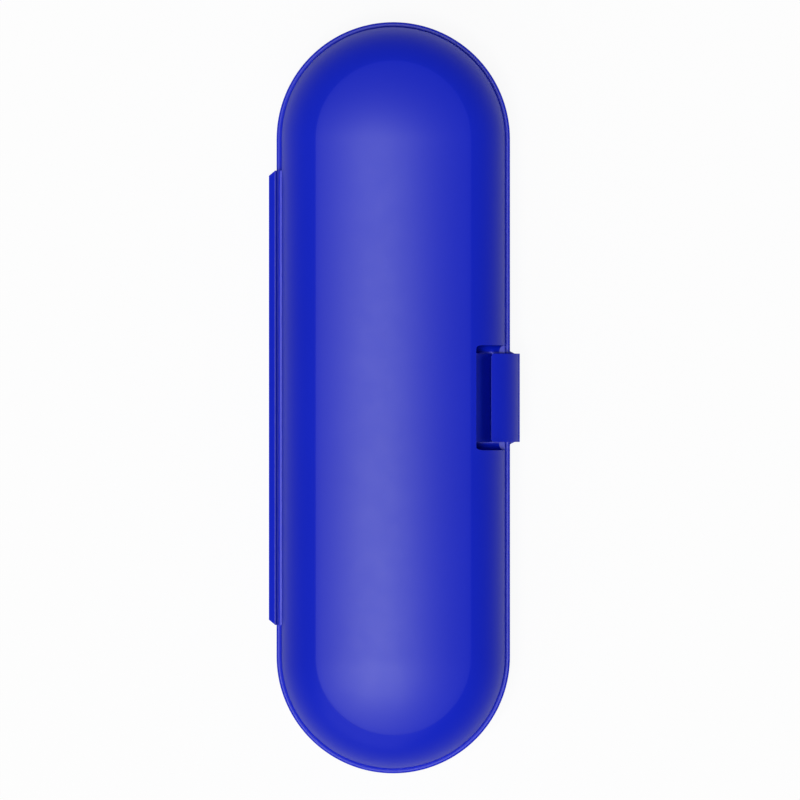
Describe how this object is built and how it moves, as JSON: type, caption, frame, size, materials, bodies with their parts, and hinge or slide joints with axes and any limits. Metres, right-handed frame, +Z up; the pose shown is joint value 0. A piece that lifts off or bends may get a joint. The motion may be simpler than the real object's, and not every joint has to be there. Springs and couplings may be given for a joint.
{
  "type": "electric toothbrush travel case",
  "caption": "Stadium-shaped hard travel case for an electric toothbrush, two halves on a folding film hinge with a swing-over clasp",
  "frame": {"origin": "middle of the flat face of the base that the closed case rests on", "axes": "+Z up from the resting face, +Y along the length of the case, +X from the hinge side to the latch side"},
  "size_m": [0.0718, 0.215, 0.045],
  "materials": {
    "shell_plastic": "satin moulded polypropylene, deep blue",
    "film_plastic": "thin flexed polypropylene, deep blue"
  },
  "bodies": {
    "base": {"base_shell": "shell_plastic", "base_rib_1": "shell_plastic", "base_rib_2": "shell_plastic", "base_rib_3": "shell_plastic", "base_rib_4": "shell_plastic", "base_hinge_film": "film_plastic", "latch_film": "film_plastic"},
    "spine": {"hinge_spine": "shell_plastic"},
    "lid": {"lid_shell": "shell_plastic", "lid_rib_1": "shell_plastic", "lid_rib_2": "shell_plastic", "lid_hinge_film": "film_plastic"},
    "latch": {"latch": "shell_plastic"}
  },
  "joints": [
    {"name": "spine_fold", "type": "hinge", "parent": "base", "child": "spine", "pos_m": [-0.03335, 0, 0.0188], "axis": [0, -1, 0], "range_deg": [0, 90], "deforming": ["base_hinge_film"]},
    {"name": "lid_fold", "type": "hinge", "parent": "spine", "child": "lid", "pos_m": [-0.03335, 0, 0.0272], "axis": [0, -1, 0], "range_deg": [0, 90], "deforming": ["lid_hinge_film"]},
    {"name": "latch_swing", "type": "hinge", "parent": "base", "child": "latch", "pos_m": [0.03575, 0, 0.0214], "axis": [0, 1, 0], "range_deg": [0, 105], "deforming": ["latch_film"]}
  ],
  "couplings": [
    {"joint": "lid_fold", "follows": "spine_fold", "ratio": 1}
  ]
}
